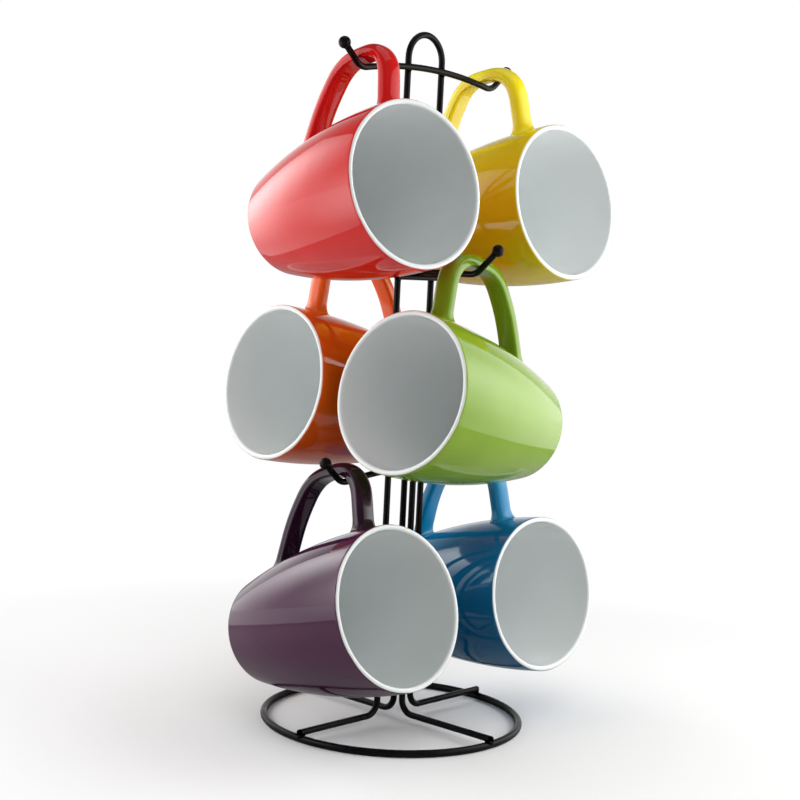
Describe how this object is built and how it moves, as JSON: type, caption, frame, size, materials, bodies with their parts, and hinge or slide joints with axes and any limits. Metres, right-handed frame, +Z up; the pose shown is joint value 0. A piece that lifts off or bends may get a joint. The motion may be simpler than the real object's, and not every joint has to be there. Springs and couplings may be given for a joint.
{
  "type": "mug tree",
  "caption": "Wire mug tree on a round base ring: a tall loop carries three crosswise hook wires with ball tips, and each hook holds a hanging stoneware mug.",
  "frame": {"origin": "centre of the base ring, on the table", "axes": "+Z up; the tall loop stands parallel to the XZ plane; the upper and lower hook wires run along X and their mugs' mouths look towards -Y; the middle hook wire runs along Y and its mugs' mouths look towards -X"},
  "size_m": [0.2179, 0.1899, 0.4],
  "materials": {
    "black_wire": "satin black powder coat on steel wire",
    "red_glaze": "gloss red glaze outside, gloss white glaze inside and on the lip",
    "yellow_glaze": "gloss yellow glaze outside, gloss white glaze inside and on the lip",
    "green_glaze": "gloss green glaze outside, gloss white glaze inside and on the lip",
    "orange_glaze": "gloss orange glaze outside, gloss white glaze inside and on the lip",
    "purple_glaze": "gloss purple glaze outside, gloss white glaze inside and on the lip",
    "blue_glaze": "gloss blue glaze outside, gloss white glaze inside and on the lip"
  },
  "bodies": {
    "stand": {"base_ring": "black_wire", "tall_loop": "black_wire", "back_strut": "black_wire", "front_strut": "black_wire", "middle_cross_bar": "black_wire", "upper_hook_wire": "black_wire", "middle_hook_wire": "black_wire", "lower_hook_wire": "black_wire", "upper_left_ball_tip": "black_wire", "upper_right_ball_tip": "black_wire", "middle_front_ball_tip": "black_wire", "middle_back_ball_tip": "black_wire", "lower_left_ball_tip": "black_wire", "lower_right_ball_tip": "black_wire"},
    "red_mug": {"red_mug_body": "red_glaze", "red_mug_handle": "red_glaze"},
    "yellow_mug": {"yellow_mug_body": "yellow_glaze", "yellow_mug_handle": "yellow_glaze"},
    "green_mug": {"green_mug_body": "green_glaze", "green_mug_handle": "green_glaze"},
    "orange_mug": {"orange_mug_body": "orange_glaze", "orange_mug_handle": "orange_glaze"},
    "purple_mug": {"purple_mug_body": "purple_glaze", "purple_mug_handle": "purple_glaze"},
    "blue_mug": {"blue_mug_body": "blue_glaze", "blue_mug_handle": "blue_glaze"}
  },
  "joints": [
    {"name": "red_mug_swing", "type": "hinge", "parent": "stand", "child": "red_mug", "pos_m": [-0.0526, -0.0047, 0.3739], "axis": [1, 0, 0], "range_deg": [-12, 12]},
    {"name": "yellow_mug_swing", "type": "hinge", "parent": "stand", "child": "yellow_mug", "pos_m": [0.0526, -0.0047, 0.3739], "axis": [1, 0, 0], "range_deg": [-12, 12]},
    {"name": "green_mug_swing", "type": "hinge", "parent": "stand", "child": "green_mug", "pos_m": [-0.0025, -0.0455, 0.2639], "axis": [0, 1, 0], "range_deg": [-12, 12]},
    {"name": "orange_mug_swing", "type": "hinge", "parent": "stand", "child": "orange_mug", "pos_m": [-0.0025, 0.0455, 0.2639], "axis": [0, 1, 0], "range_deg": [-12, 12]},
    {"name": "purple_mug_swing", "type": "hinge", "parent": "stand", "child": "purple_mug", "pos_m": [-0.0526, -0.0047, 0.1453], "axis": [1, 0, 0], "range_deg": [-12, 12]},
    {"name": "blue_mug_swing", "type": "hinge", "parent": "stand", "child": "blue_mug", "pos_m": [0.0526, -0.0047, 0.1453], "axis": [1, 0, 0], "range_deg": [-12, 12]}
  ]
}
